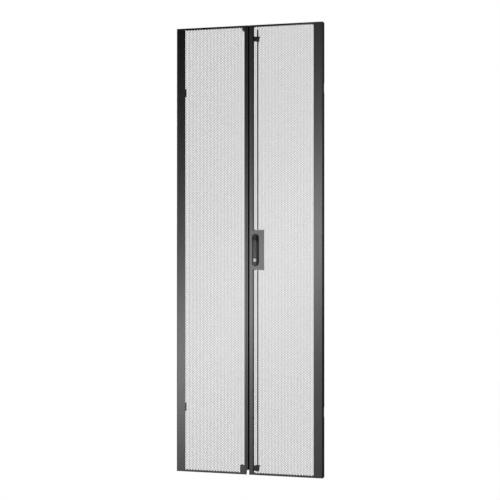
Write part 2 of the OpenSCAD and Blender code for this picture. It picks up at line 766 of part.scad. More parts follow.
module guide_screw_holes() {
    for (g = [[upper_guide_z, upper_guide_h], [lower_guide_inset, lower_guide_h]], dz = [-1, 1])
        rod_along_x([channel_x - 2 * channel_t, rod_y, g[0] + dz * guide_screw_up(g[1])],
            1.5 + running_gap, 3 * channel_t);
}

module guide_screws() {
    color(ZINC) for (g = [[upper_guide_z, upper_guide_h], [lower_guide_inset, lower_guide_h]], dz = [-1, 1]) {
        z = g[0] + dz * guide_screw_up(g[1]);
        rod_along_x([channel_x - channel_t, rod_y, z], 1.5, channel_t + 6);
        rod_along_x([channel_x - channel_t - 2, rod_y, z], 2.8, 2);
    }
}

left_leaf_sheet();
right_leaf_sheet();
left_edge_channel();
left_stiffener();
lock_channel();
left_upper_bracket();
left_lower_bracket();
right_upper_bracket();
right_lower_bracket();
hinge_pins();
hinge_washers();
left_upper_knuckle();
left_lower_knuckle();
right_upper_knuckle();
right_lower_knuckle();
left_upper_corner_block();
left_lower_corner_block();
left_bumpers();
right_bumpers();
left_earth_stud();
right_earth_stud();
left_earth_nut();
right_earth_nut();
handle_base();
handle_screws();
handle_washers();
handle_hub();
handle_lever();
lever_pin();
lock_barrel();
lock_plug();
cam();
cam_pins();
cam_screw();
upper_rod_fork();
lower_rod_fork();
upper_grub_screw();
lower_grub_screw();
upper_rod();
lower_rod();
upper_rod_tip();
lower_rod_tip();
upper_rod_guide();
lower_rod_guide();
guide_screws();
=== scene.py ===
"""Looks of a pair of perforated rack doors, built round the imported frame.

The leaves get their full honeycomb of holes, their folds and lips; the handle, the lock, the rod
guides and the left corner blocks get rounded edges; every node gets a procedural finish.
"""

import json
import logging
import math
from dataclasses import dataclass, field
from enum import Enum
from typing import Any, ClassVar, Iterable, Sequence

import bmesh
import bpy
from mathutils import Matrix, Vector

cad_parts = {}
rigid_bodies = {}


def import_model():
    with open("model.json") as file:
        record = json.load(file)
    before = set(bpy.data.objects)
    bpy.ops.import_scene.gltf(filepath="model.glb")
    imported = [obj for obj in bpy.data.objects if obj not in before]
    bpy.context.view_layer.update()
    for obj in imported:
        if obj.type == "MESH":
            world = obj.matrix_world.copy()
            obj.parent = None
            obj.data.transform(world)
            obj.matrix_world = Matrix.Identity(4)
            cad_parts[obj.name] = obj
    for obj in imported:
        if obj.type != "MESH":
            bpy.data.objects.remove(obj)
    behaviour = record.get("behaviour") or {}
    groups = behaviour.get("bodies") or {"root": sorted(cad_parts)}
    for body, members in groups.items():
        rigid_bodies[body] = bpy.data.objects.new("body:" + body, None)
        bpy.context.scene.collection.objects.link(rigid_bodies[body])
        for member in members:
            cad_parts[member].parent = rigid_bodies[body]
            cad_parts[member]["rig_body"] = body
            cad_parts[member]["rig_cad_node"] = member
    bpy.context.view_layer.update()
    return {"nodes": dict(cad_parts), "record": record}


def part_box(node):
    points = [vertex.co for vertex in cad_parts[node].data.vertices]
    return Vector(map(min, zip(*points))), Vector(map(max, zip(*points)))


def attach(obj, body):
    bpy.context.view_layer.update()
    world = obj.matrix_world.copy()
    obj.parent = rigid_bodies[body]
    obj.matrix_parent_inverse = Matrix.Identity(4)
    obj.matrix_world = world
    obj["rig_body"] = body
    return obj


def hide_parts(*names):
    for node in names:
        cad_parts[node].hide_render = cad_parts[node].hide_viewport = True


LOG = logging.getLogger("rack_door")
MM = 0.001


# ---------------------------------------------------------------- node trees


class Socket:
    """One output socket whose arithmetic adds Math nodes to its tree."""

    def __init__(self, graph: "NodeGraph", out: bpy.types.NodeSocket) -> None:
        """Wraps out, an output socket of graph's tree."""
        self.graph = graph
        self.out = out

    def _math(self, operation: str, *terms: Any) -> "Socket":
        """Adds one Math node.

        Args:
            operation: The node's operation.
            terms: Sockets or numbers for its inputs, in order.

        Returns:
            The node's result.
        """
        return self.graph.node("ShaderNodeMath", {"operation": operation}, dict(enumerate(terms)))

    def __add__(self, other: Any) -> "Socket":
        """Sum."""
        return self._math("ADD", self, other)

    __radd__ = __add__

    def __mul__(self, other: Any) -> "Socket":
        """Product."""
        return self._math("MULTIPLY", self, other)

    __rmul__ = __mul__

    def __sub__(self, other: Any) -> "Socket":
        """Difference."""
        return self._math("SUBTRACT", self, other)

    def __rsub__(self, other: Any) -> "Socket":
        """Difference with this socket on the right."""
        return self._math("SUBTRACT", other, self)

    def __truediv__(self, other: Any) -> "Socket":
        """Quotient."""
        return self._math("DIVIDE", self, other)

    def __mod__(self, other: Any) -> "Socket":
        """Remainder."""
        return self._math("FLOORED_MODULO", self, other)

    def __gt__(self, other: Any) -> "Socket":
        """1 where this is above other, else 0."""
        return self._math("GREATER_THAN", self, other)

    def __lt__(self, other: Any) -> "Socket":
        """1 where this is below other, else 0."""
        return self._math("LESS_THAN", self, other)

    def floor(self) -> "Socket":
        """The next whole number down."""
        return self._math("FLOOR", self)

    def larger(self, other: Any) -> "Socket":
        """The larger of this and other."""
        return self._math("MAXIMUM", self, other)


class NodeGraph:
    """A shader or geometry tree that nodes are added to through one method."""

    def __init__(self, tree: bpy.types.NodeTree) -> None:
        """Takes the tree to build."""
        self.tree = tree

    def node(
        self,
        kind: str,
        settings: dict[str, Any] | None = None,
        inputs: dict[Any, Any] | None = None,
        output: Any = 0,
    ) -> Socket:
        """Adds a node, sets it up and links it.

        Args:
            kind: The node's type.
            settings: Node properties, set before the sockets; "stops" fills a colour ramp.
            inputs: Socket name or index to a value, a Socket or a list of Sockets.
            output: Name or index of the output that is returned.

        Returns:
            The chosen output; its other outputs come from other().
        """
        made = self.tree.nodes.new(kind)
        for key, value in (settings or {}).items():
            if key == "stops":
                self._set_stops(made.color_ramp, value)
            else:
                setattr(made, key, value)
        for key, value in (inputs or {}).items():
            target = made.inputs[key]
            for item in value if isinstance(value, list) else [value]:
                if isinstance(item, Socket):
                    self.tree.links.new(item.out, target)
                else:
                    target.default_value = item
        if not made.outputs:
            return Socket(self, None)
        return Socket(self, made.outputs[output])

    @staticmethod
    def _set_stops(ramp: bpy.types.ColorRamp, stops: Sequence[tuple[float, float]]) -> None:
        """Fills a colour ramp with grey stops.

        Args:
            ramp: The ramp of a new node.
            stops: A (position, grey) pair for each stop, in rising order.
        """
        anywhere = 0.5
        while len(ramp.elements) < len(stops):
            ramp.elements.new(anywhere)
        for element, (position, grey) in zip(ramp.elements, stops):
            element.position = position
            element.color = (grey, grey, grey, 1.0)

    def other(self, socket: Socket, output: Any) -> Socket:
        """Another output of the node that socket comes from."""
        return Socket(self, socket.out.node.outputs[output])

    def vector(self, x: Any, y: Any, z: Any) -> Socket:
        """Joins three numbers or sockets into a vector."""
        return self.node("ShaderNodeCombineXYZ", None, {0: x, 1: y, 2: z})

    def grey(self, value: Socket) -> Socket:
        """Turns a number into a grey colour."""
        return self.node("ShaderNodeCombineColor", None, {0: value, 1: value, 2: value})

    def seen_directly(self) -> Socket:
        """1 for rays that come straight from the camera or through a clear thing, else 0."""
        path = self.node("ShaderNodeLightPath", None, None, "Is Camera Ray")
        return path.larger(self.other(path, "Is Transmission Ray"))

    def parts(self, vector: Socket) -> tuple[Socket, Socket, Socket]:
        """The x, y and z of a vector."""
        first = self.node("ShaderNodeSeparateXYZ", None, {0: vector})
        return first, self.other(first, 1), self.other(first, 2)


# ---------------------------------------------------------------- finishes


@dataclass(frozen=True)
class Finish:
    """A surface finish.

    Args:
        slot: The record's material slot.
        colour: Base colour, linear.
        roughness: Mean roughness.
        metallic: 1 for bare metal.
        spread: How far roughness wanders from its mean.
        grain: Size of the surface texture, in metres.
        relief: Strength of that texture as bump.
        brushed: Axis along which the texture is drawn out, or None.
    """

    slot: str
    colour: tuple[float, float, float]
    roughness: float
    metallic: float = 0.0
    spread: float = 0.05
    grain: float = 0.0015
    relief: float = 0.1
    brushed: int | None = None
    # The same for every finish: the shade wanders over SHADE_SPAN from SHADE_LOW times the colour.
    BRUSH_STRETCH: ClassVar[float] = 40.0
    BROAD_SCALE: ClassVar[float] = 9.0
    SHADE_LOW: ClassVar[float] = 0.85
    SHADE_SPAN: ClassVar[float] = 0.3
    BUMP_DEPTH: ClassVar[float] = 0.2 * MM

    def build(self) -> bpy.types.Material:
        """Makes the material.

        Returns:
            A node material named after the slot.
        """
        material = bpy.data.materials.new(self.slot)
        material.use_nodes = True
        material.node_tree.nodes.clear()
        graph = NodeGraph(material.node_tree)
        place = graph.node("ShaderNodeTexCoord", None, None, "Object")
        stretch = [1.0 / self.grain] * 3
        if self.brushed is not None:
            stretch[self.brushed] /= self.BRUSH_STRETCH
        drawn = graph.node(
            "ShaderNodeMapping", {"vector_type": "POINT"}, {"Vector": place, "Scale": tuple(stretch)}
        )
        fine = graph.node("ShaderNodeTexNoise", None, {"Vector": drawn, "Scale": 1.0, "Detail": 2.0})
        broad = graph.node(
            "ShaderNodeTexNoise", None, {"Vector": place, "Scale": self.BROAD_SCALE, "Detail": 3.0}
        )
        rough = fine * self.spread + broad * self.spread + (self.roughness - self.spread)
        shade = broad * self.SHADE_SPAN + self.SHADE_LOW
        tint = graph.node(
            "ShaderNodeMix", {"data_type": "RGBA", "blend_type": "MULTIPLY"},
            {0: 1.0, 6: (*self.colour, 1.0), 7: graph.grey(shade)}, 2,
        )
        bump = graph.node(
            "ShaderNodeBump", None,
            {"Strength": self.relief, "Distance": self.BUMP_DEPTH, "Height": fine},
        )
        shader = graph.node(
            "ShaderNodeBsdfPrincipled", None,
            {"Base Color": tint, "Roughness": rough, "Metallic": self.metallic, "Normal": bump},
        )
        graph.node("ShaderNodeOutputMaterial", None, {0: shader})
        material.diffuse_color = (*self.colour, 1.0)
        return material


FINISHES = (
    Finish("powder_black", (0.0035, 0.0035, 0.0037), 0.22, spread=0.02, grain=0.0009, relief=0.12),
    Finish("zinc_steel", (0.42, 0.43, 0.45), 0.38, metallic=1.0, spread=0.12, grain=0.004, relief=0.05),
    Finish("bright_steel", (0.5, 0.5, 0.51), 0.33, metallic=1.0, grain=0.0006, relief=0.12, brushed=2),
    Finish("black_plastic", (0.022, 0.022, 0.023), 0.42, spread=0.05, grain=0.0005, relief=0.2),
    Finish("lever_graphite", (0.085, 0.085, 0.088), 0.36, spread=0.04, grain=0.0006, relief=0.15),
    Finish("lock_chrome", (0.55, 0.55, 0.56), 0.4, metallic=1.0, grain=0.002, relief=0.02),
    Finish("rubber", (0.01, 0.01, 0.01), 0.75, spread=0.08, grain=0.0008, relief=0.3),
)


class Paintshop:
    """Builds each finish once and puts it on pieces."""

    def __init__(self, record: dict[str, Any]) -> None:
        """Builds the finishes and reads the slot of each node from the record."""
        self.materials = {finish.slot: finish.build() for finish in FINISHES}
        self.slots = {part["node"]: part["material_slot"] for part in record["subparts"]}

    def dress_node(self, node: bpy.types.Object) -> None:
        """Gives a CAD node the finish of its slot.

        Args:
            node: The node's object, as the frame holds it.
        """
        material = self.materials[self.slots[node["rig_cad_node"]]]
        if not node.material_slots:
            node.data.materials.append(material)
        for slot in node.material_slots:
            slot.material = material

    def finish_piece(
        self, piece: bpy.types.Object, slot: str, body: str, replaced: Iterable[str] = ()
    ) -> None:
        """Paints a new piece and ties it to the frame.

        Args:
            piece: The new object, at the origin.
            slot: Material slot that it takes its finish from.
            body: CAD body that it rides on.
            replaced: CAD nodes that it stands for.
        """
        piece.data.materials.clear()
        piece.data.materials.append(self.materials[slot])
        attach(piece, body)
        if replaced:
            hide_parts(*replaced)
        LOG.info("%s rides on %s, %d faces", piece.name, body, len(piece.data.polygons))


# ---------------------------------------------------------------- mesh helpers

SAME_POINT = 0.001 * MM
# Angles between faces, in degrees.
FLAT_WITHIN = 1.0
ROUND_EDGES_OVER = 40.0
SHARP_OVER = 35.0
FOLD_SHARP_OVER = 30.0

def add_object(name: str, mesh: bpy.types.Mesh) -> bpy.types.Object:
    """Links a new object at the origin.

    Args:
        name: Name of the object and its mesh.
        mesh: Its mesh.

    Returns:
        The object.
    """
    mesh.name = name
    made = bpy.data.objects.new(name, mesh)
    bpy.context.scene.collection.objects.link(made)
    return made


def apply_modifiers(source: bpy.types.Object, name: str) -> bpy.types.Object:
    """Turns an object with modifiers into a plain one and removes the source.

    Args:
        source: The object to evaluate.
        name: Name of the result.

    Returns:
        The plain object.
    """
    evaluated = source.evaluated_get(bpy.context.evaluated_depsgraph_get())
    mesh = bpy.data.meshes.new_from_object(evaluated)
    bpy.data.objects.remove(source)
    return add_object(name, mesh)


def cutter_block(low: Sequence[float], high: Sequence[float]) -> bpy.types.Object:
    """Makes a block for a Boolean cut.

    Args:
        low: Its lowest corner.
        high: Its highest corner.

    Returns:
        The block, to be removed after the cut.
    """
    shape = bmesh.new()
    bmesh.ops.create_cube(shape, size=1.0)
    low, high = Vector(low), Vector(high)
    place = Matrix.LocRotScale((low + high) / 2, None, high - low)
    bmesh.ops.transform(shape, matrix=place, verts=shape.verts)
    mesh = bpy.data.meshes.new("cutter")
    shape.to_mesh(mesh)
    shape.free()
    return add_object("cutter", mesh)


def smooth_by_angle(mesh: bpy.types.Mesh, degrees: float) -> None:
    """Shades a mesh smooth, with edges sharper than degrees kept sharp."""
    mesh.polygons.foreach_set("use_smooth", [True] * len(mesh.polygons))
    mesh.set_sharp_from_angle(angle=math.radians(degrees))


def rounded_copy(node: bpy.types.Object, name: str, width: float, segments: int = 2) -> bpy.types.Object:
    """Copies a CAD node with its hard edges rounded.

    Args:
        node: The CAD node.
        name: Name of the copy.
        width: Width of the rounding, in metres.
        segments: Steps across the rounding.

    Returns:
        The rounded copy, a plain mesh.
    """
    mesh = node.data.copy()
    shape = bmesh.new()
    shape.from_mesh(mesh)
    bmesh.ops.remove_doubles(shape, verts=shape.verts, dist=SAME_POINT)
    bmesh.ops.dissolve_limit(
        shape, angle_limit=math.radians(FLAT_WITHIN), verts=shape.verts, edges=shape.edges,
        delimit={"NORMAL"},
    )
    shape.to_mesh(mesh)
    shape.free()
    copy = add_object(name + "_source", mesh)
    bevel = copy.modifiers.new("rounding", "BEVEL")
    bevel.width = width
    bevel.segments = segments
    bevel.limit_method = "ANGLE"
    bevel.angle_limit = math.radians(ROUND_EDGES_OVER)
    piece = apply_modifiers(copy, name)
    smooth_by_angle(piece.data, SHARP_OVER)
    return piece


# ---------------------------------------------------------------- perforated sheet


@dataclass(frozen=True)
class Keep:
    """A rectangle of the sheet that stays plain, in metres."""

    low_x: float
    high_x: float
    low_z: float
    high_z: float


@dataclass(frozen=True)
class Perforation:
    """A honeycomb of six-sided holes in a flat plate, in upright columns.

    Args:
        low: Lowest x and z of the field, in metres.
        high: Highest x and z of the field.
        keep: Rectangle that stays plain.
        pitch: Centre distance between neighbouring holes.
        web: Width of metal between two holes.
    """

    low: tuple[float, float]
    high: tuple[float, float]
    keep: Keep
    pitch: float = 8.36 * MM
    web: float = 1.36 * MM
    COLUMN_STEP: ClassVar[float] = math.cos(math.radians(30.0))

    @property
    def flat(self) -> float:
        """Width of a hole across its flats."""
        return self.pitch - self.web

    @property
    def step(self) -> float:
        """Distance between columns."""
        return self.pitch * self.COLUMN_STEP

    @property
    def columns(self) -> int:
        """Whole columns that fit."""
        return int((self.high[0] - self.low[0] - 2 * self.flat / math.sqrt(3)) / self.step) + 1

    @property
    def rows(self) -> int:
        """Whole holes that fit in the taller columns."""
        return int((self.high[1] - self.low[1] - self.flat) / self.pitch) + 1

    @property
    def start(self) -> tuple[float, float]:
        """Centre of the first hole."""
        return (
            (self.low[0] + self.high[0] - (self.columns - 1) * self.step) / 2,
            (self.low[1] + self.high[1] - (self.rows - 1) * self.pitch) / 2,
        )


class HoneycombTree:
    """Geometry Nodes that make one band of the honeycomb, or the plain sheet round all of it.

    The flat mesh is laid out in x and y, and stood upright at the end.
    """

    WELD = 0.02 * MM
    WHOLE_NUMBER_GUARD = 1e-4
    BELOW_TWO_FACES = 1.5
    BELOW_ANY_HOLE = 0.25
    INPUTS = (
        ("Columns", "NodeSocketInt"), ("Rows", "NodeSocketInt"),
        ("First Row", "NodeSocketInt"), ("Last Row", "NodeSocketInt"),
        ("Pitch", "NodeSocketFloat"), ("Web", "NodeSocketFloat"), ("Thickness", "NodeSocketFloat"),
        ("Start X", "NodeSocketFloat"), ("Start Z", "NodeSocketFloat"), ("Back Y", "NodeSocketFloat"),
        ("Keep Low X", "NodeSocketFloat"), ("Keep High X", "NodeSocketFloat"),
        ("Keep Low Z", "NodeSocketFloat"), ("Keep High Z", "NodeSocketFloat"),
        ("Plate Width", "NodeSocketFloat"), ("Plate Height", "NodeSocketFloat"),
        ("Plate X", "NodeSocketFloat"), ("Plate Z", "NodeSocketFloat"),
        ("Plain Sheet", "NodeSocketBool"), ("Material", "NodeSocketMaterial"),
    )

    def __init__(self) -> None:
        """Builds the tree once; every plate uses it with its own sizes."""
        self.tree = bpy.data.node_groups.new("honeycomb", "GeometryNodeTree")
        self.tree.interface.new_socket("Geometry", in_out="OUTPUT", socket_type="NodeSocketGeometry")
        for name, kind in self.INPUTS:
            self.tree.interface.new_socket(name, in_out="INPUT", socket_type=kind)
        self.graph = NodeGraph(self.tree)
        self.given = self.graph.node("NodeGroupInput")
        cells = self._cells()
        flat = self.graph.node(
            "GeometryNodeSwitch", {"input_type": "GEOMETRY"},
            {"Switch": self._input("Plain Sheet"), "False": cells, "True": self._plain_sheet(cells)},
        )
        self._close(flat)

    def _input(self, name: str) -> Socket:
        """The group input of that name."""
        return self.graph.other(self.given, name)

    def _ring(self) -> Socket:
        """A flat six-sided ring: the metal that belongs to one hole.

        Returns:
            Its mesh, with inner marked on the points of the hole.
        """
        graph = self.graph
        cell_r = self._input("Pitch") / math.sqrt(3)
        share = (self._input("Pitch") - self._input("Web")) / self._input("Pitch")
        circle = graph.node(
            "GeometryNodeMeshCircle", {"fill_type": "NONE"}, {"Vertices": 6, "Radius": cell_r}
        )
        ring = graph.node(
            "GeometryNodeExtrudeMesh", {"mode": "EDGES"},
            {"Mesh": circle, "Offset": (0, 0, 0), "Offset Scale": 0.0},
        )
        top = graph.other(ring, "Top")
        place = graph.node("GeometryNodeInputPosition")
        inward = graph.node("ShaderNodeVectorMath", {"operation": "SCALE"}, {0: place, "Scale": share})
        shaped = graph.node(
            "GeometryNodeSetPosition", None, {"Geometry": ring, "Selection": top, "Position": inward}
        )
        return graph.node(
            "GeometryNodeStoreNamedAttribute", {"data_type": "FLOAT", "domain": "POINT"},
            {"Geometry": shaped, "Name": "inner", "Value": top},
        )

    def _cells(self) -> Socket:
        """Sets a ring at every hole of the chosen rows, outside the plain rectangle.

        Returns:
            The rings, welded into one flat mesh.
        """
        graph = self.graph
        index = graph.node("GeometryNodeInputIndex")
        rows = self._input("Rows")
        column = (index / rows + self.WHOLE_NUMBER_GUARD).floor()
        row = index - column * rows
        # Odd columns sit half a pitch higher and have one hole less than the others.
        odd = column % 2.0
        pitch = self._input("Pitch")
        x = self._input("Start X") + column * (pitch * Perforation.COLUMN_STEP)
        z = self._input("Start Z") + (row + odd * 0.5) * pitch
        half_flat = (pitch - self._input("Web")) / 2
        half_wide = half_flat * (2 / math.sqrt(3))
        in_keep = (
            (x + half_wide > self._input("Keep Low X")) * (x - half_wide < self._input("Keep High X"))
            * (z + half_flat > self._input("Keep Low Z")) * (z - half_flat < self._input("Keep High Z"))
        )
        # Rows are whole numbers, so they are compared half a row away from a limit.
        spare = odd * (row > rows - 1.5)
        outside = (row < self._input("First Row") - 0.5).larger(row > self._input("Last Row") - 0.5)
        unused = in_keep.larger(spare).larger(outside)
        points = graph.node(
            "GeometryNodePoints", None,
            {"Count": self._input("Columns") * rows, "Position": graph.vector(x, z, 0)},
        )
        used = graph.node(
            "GeometryNodeDeleteGeometry", {"domain": "POINT"}, {"Geometry": points, "Selection": unused}
        )
        placed = graph.node("GeometryNodeInstanceOnPoints", None, {"Points": used, "Instance": self._ring()})
        real = graph.node("GeometryNodeRealizeInstances", None, {"Geometry": placed})
        return graph.node("GeometryNodeMergeByDistance", None, {"Geometry": real, "Distance": self.WELD})

    def _plain_sheet(self, cells: Socket) -> Socket:
        """Fills the sheet between the plate's edge and the outline of the cells.

        Args:
            cells: The welded rings.

        Returns:
            The plain sheet, flat.
        """
        graph = self.graph
        sides = graph.other(graph.node("GeometryNodeInputMeshEdgeNeighbors"), 0)
        inner = graph.node("GeometryNodeInputNamedAttribute", {"data_type": "FLOAT"}, {"Name": "inner"})
        # An edge of the outline has one face, and neither of its ends is marked as a hole's.
        rim = (sides < self.BELOW_TWO_FACES) * (inner < self.BELOW_ANY_HOLE)
        outline = graph.node("GeometryNodeMeshToCurve", None, {"Mesh": cells, "Selection": rim})
        edge = graph.node(
            "GeometryNodeCurvePrimitiveQuadrilateral", {"mode": "RECTANGLE"},
            {"Width": self._input("Plate Width"), "Height": self._input("Plate Height")},
        )
        seated = graph.node(
            "GeometryNodeTransform", None,
            {"Geometry": edge,
             "Translation": graph.vector(self._input("Plate X"), self._input("Plate Z"), 0)},
        )
        both = graph.node("GeometryNodeJoinGeometry", None, {"Geometry": [outline, seated]})
        filled = graph.node("GeometryNodeFillCurve", None, {"Curve": both})
        return graph.node("GeometryNodeMergeByDistance", None, {"Geometry": filled, "Distance": self.WELD})

    def _close(self, flat: Socket) -> None:
        """Gives the flat mesh its thickness and stands it upright, front towards -Y.

        Args:
            flat: The flat mesh.
        """
        graph = self.graph
        normal = graph.node("GeometryNodeInputNormal")
        down = graph.parts(normal)[2] < 0.0
        up = graph.node("GeometryNodeFlipFaces", None, {"Mesh": flat, "Selection": down})
        under = graph.node("GeometryNodeFlipFaces", None, {"Mesh": up})
        raised = graph.node(
            "GeometryNodeExtrudeMesh", {"mode": "FACES"},
            {"Mesh": up, "Offset": (0, 0, 1), "Offset Scale": self._input("Thickness"), "Individual": False},
        )
        both = graph.node("GeometryNodeJoinGeometry", None, {"Geometry": [raised, under]})
        welded = graph.node("GeometryNodeMergeByDistance", None, {"Geometry": both, "Distance": self.WELD})
        upright = graph.node(
            "GeometryNodeTransform", None,
            {"Geometry": welded, "Rotation": (math.pi / 2, 0, 0),
             "Translation": graph.vector(0, self._input("Back Y"), 0)},
        )
        faceted = graph.node(
            "GeometryNodeSetShadeSmooth", None, {"Geometry": upright, "Shade Smooth": False}
        )
        real = graph.node("GeometryNodeRealizeInstances", None, {"Geometry": faceted})
        painted = graph.node(
            "GeometryNodeSetMaterial", None, {"Geometry": real, "Material": self._input("Material")}
        )
        graph.node("NodeGroupOutput", None, {0: painted})

    def make(self, name: str, values: dict[str, Any]) -> bpy.types.Object:
        """Runs the tree.

        Args:
            name: Name of the piece.
            values: Input name to value.

        Returns:
            The piece, a plain mesh at the origin.
        """
        holder = add_object(name + "_source", bpy.data.meshes.new(name))
        modifier = holder.modifiers.new("honeycomb", "NODES")
        modifier.node_group = self.tree
        for item in self.tree.interface.items_tree:
            if item.in_out == "INPUT" and item.name in values:
                modifier[item.identifier] = values[item.name]
        return apply_modifiers(holder, name)


# ---------------------------------------------------------------- leaves


class Side(Enum):
    """Which leaf of the pair."""

    LEFT = "left"
    RIGHT = "right"

    @property
    def sign(self) -> int:
        """-1 on the left, 1 on the right."""
        return -1 if self is Side.LEFT else 1


@dataclass
class Leaf:
    """One leaf: a perforated front, folded returns and lips at the back, sizes in metres."""

    side: Side
    shop: Paintshop
    comb: HoneycombTree
    sheet_t: float = 1.5 * MM
    fold_r: float = 3.0 * MM
    lip_w: float = 15.0 * MM
    outer_stile: float = 44.0 * MM
    inner_stile: float = 17.5 * MM
    edge_channel_w: float = 8.0 * MM
    end_margin: float = 8.0 * MM
    field_w: float = 75.5 * MM
    field_h: float = 190.0 * MM
    corner_w: float = 20.0 * MM
    corner_h: float = 45.0 * MM
    notch_depth: float = 6.0 * MM
    notch_h: float = 46.0 * MM
    foot_h: float = 22.0 * MM
    beyond: float = 1.0
    bands: int = 3
    fold_steps: int = 6
    low: Vector = field(init=False)
    high: Vector = field(init=False)

    def __post_init__(self) -> None:
        """Reads the leaf's box from the frame."""
        self.low, self.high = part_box(self.node)

    @property
    def node(self) -> str:
        """The leaf's sheet in the frame."""
        return f"{self.side.value}_leaf_sheet"

    @property
    def body(self) -> str:
        """The leaf's body in the frame."""
        return f"{self.side.value}_leaf"

    def build(self) -> None:
        """Makes every piece of the sheet and puts it on the leaf."""
        perforation = self._perforation()
        pieces = [self._band(perforation, number) for number in range(self.bands)]
        pieces.append(self._plain(perforation))
        pieces.append(self._returns())
        for piece in pieces:
            self.shop.finish_piece(piece, "powder_black", self.body, [self.node])

    def _perforation(self) -> Perforation:
        """Places the honeycomb of this leaf and its plain rectangle.

        The rectangle reaches beyond the leaf's edge on the sides where the plain sheet does.

        Returns:
            The left leaf's with a plain foot corner, or the right leaf's with a handle field.
        """
        low_z, high_z = self.end_margin, self.high.z - self.end_margin
        if self.side is Side.LEFT:
            field_x = (self.low.x + self.outer_stile, self.high.x + self.edge_channel_w - self.inner_stile)
            keep = Keep(field_x[1] - self.corner_w, field_x[1] + self.beyond, -self.beyond, self.corner_h)
        else:
            field_x = (self.low.x + self.inner_stile, self.high.x - self.outer_stile)
            middle = self.high.z / 2
            half = self.field_h / 2
            keep = Keep(-self.beyond, self.low.x + self.field_w, middle - half, middle + half)
        return Perforation((field_x[0], low_z), (field_x[1], high_z), keep)

    def _values(self, comb: Perforation, first: int, last: int, plain: bool) -> dict[str, Any]:
        """Gathers the inputs of the honeycomb tree.

        Args:
            comb: The leaf's perforation.
            first: First row of the band.
            last: First row above the band.
            plain: Whether the plain sheet is made, and not the band.

        Returns:
            Input name to value.
        """
        return {
            "Columns": comb.columns, "Rows": comb.rows, "First Row": first, "Last Row": last,
            "Pitch": comb.pitch, "Web": comb.web, "Thickness": self.sheet_t,
            "Start X": comb.start[0], "Start Z": comb.start[1], "Back Y": self.low.y + self.sheet_t,
            "Keep Low X": comb.keep.low_x, "Keep High X": comb.keep.high_x,
            "Keep Low Z": comb.keep.low_z, "Keep High Z": comb.keep.high_z,
            "Plate Width": self.high.x - self.low.x - 2 * self.fold_r,
            "Plate Height": self.high.z - self.low.z - 2 * self.fold_r,
            "Plate X": (self.low.x + self.high.x) / 2, "Plate Z": (self.low.z + self.high.z) / 2,
            "Plain Sheet": plain, "Material": self.shop.materials["powder_black"],
        }

    def _band(self, comb: Perforation, number: int) -> bpy.types.Object:
        """Makes one band of the honeycomb.

        Args:
            comb: The leaf's perforation.
            number: The band's number, counted from the foot.

        Returns:
            The band.
        """
        first = comb.rows * number // self.bands
        last = comb.rows * (number + 1) // self.bands
        name = f"{self.side.value}_honeycomb_{number}"
        return self.comb.make(name, self._values(comb, first, last, False))

    def _plain(self, comb: Perforation) -> bpy.types.Object:
        """The plain sheet round the honeycomb."""
        name = f"{self.side.value}_plain_sheet"
        return self.comb.make(name, self._values(comb, 0, comb.rows, True))

    def _profile(self) -> list[tuple[float, float]]:
        """Draws the closed outline of the fold, the return and its lip.

        Returns:
            Points as (distance in from the leaf's edge, depth behind its front).
        """
        outer_r, inner_r = self.fold_r, self.fold_r - self.sheet_t
        depth = self.high.y - self.low.y
        lip_front = depth - self.sheet_t
        turns = [math.pi / 2 * step / self.fold_steps for step in range(self.fold_steps + 1)]
        outer = [(outer_r - outer_r * math.sin(turn), outer_r - outer_r * math.cos(turn)) for turn in turns]
        inner = [
            (outer_r - inner_r * math.sin(turn), outer_r - inner_r * math.cos(turn))
            for turn in reversed(turns)
        ]
        lip = [(0, depth), (self.lip_w, depth), (self.lip_w, lip_front), (self.sheet_t, lip_front)]
        return outer + lip + inner

    def _returns(self) -> bpy.types.Object:
        """Sweeps the folds, returns and back lips round the leaf and notches them at the hinges.

        Returns:
            The piece, its faces shaded by angle.
        """
        shape = bmesh.new()
        rings = []
        for inset, depth in self._profile():
            y = self.low.y + depth
            x0, x1 = self.low.x + inset, self.high.x - inset
            z0, z1 = self.low.z + inset, self.high.z - inset
            corners = ((x0, z0), (x1, z0), (x1, z1), (x0, z1))
            rings.append([shape.verts.new((x, y, z)) for x, z in corners])
        for ring, following in zip(rings, rings[1:] + rings[:1]):
            for here in range(len(ring)):
                there = (here + 1) % len(ring)
                shape.faces.new((ring[here], ring[there], following[there], following[here]))
        bmesh.ops.recalc_face_normals(shape, faces=shape.faces)
        mesh = bpy.data.meshes.new("returns")
        shape.to_mesh(mesh)
        shape.free()
        source = add_object("returns_source", mesh)
        cutters = [self._end_lip_cutter()] + [self._notch_cutter(z) for z in self._hinge_heights()]
        if self.side is Side.LEFT:
            cutters.append(self._foot_cutter())
        for cutter in cutters:
            cut = source.modifiers.new("notch", "BOOLEAN")
            cut.object = cutter
            cut.operation = "DIFFERENCE"
            cut.solver = "EXACT"
        piece = apply_modifiers(source, f"{self.side.value}_returns")
        for cutter in cutters:
            bpy.data.objects.remove(cutter)
        smooth_by_angle(piece.data, FOLD_SHARP_OVER)
        return piece

    def _hinge_heights(self) -> list[float]:
        """Heights of the middles of the two hinges."""
        boxes = [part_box(f"{self.side.value}_{level}_bracket") for level in ("lower", "upper")]
        return [(low.z + high.z) / 2 for low, high in boxes]

    def _notch_cutter(self, z: float) -> bpy.types.Object:
        """Makes the block that cuts a hinge notch through the lip and the return.

        Args:
            z: Height of the hinge's middle.

        Returns:
            The block.
        """
        outer_x = self.high.x if self.side is Side.RIGHT else self.low.x
        outside = outer_x + self.side.sign * MM
        inside = outer_x - self.side.sign * (self.lip_w + MM)
        return cutter_block(
            (min(outside, inside), self.high.y - self.notch_depth, z - self.notch_h / 2),
            (max(outside, inside), self.high.y + MM, z + self.notch_h / 2),
        )

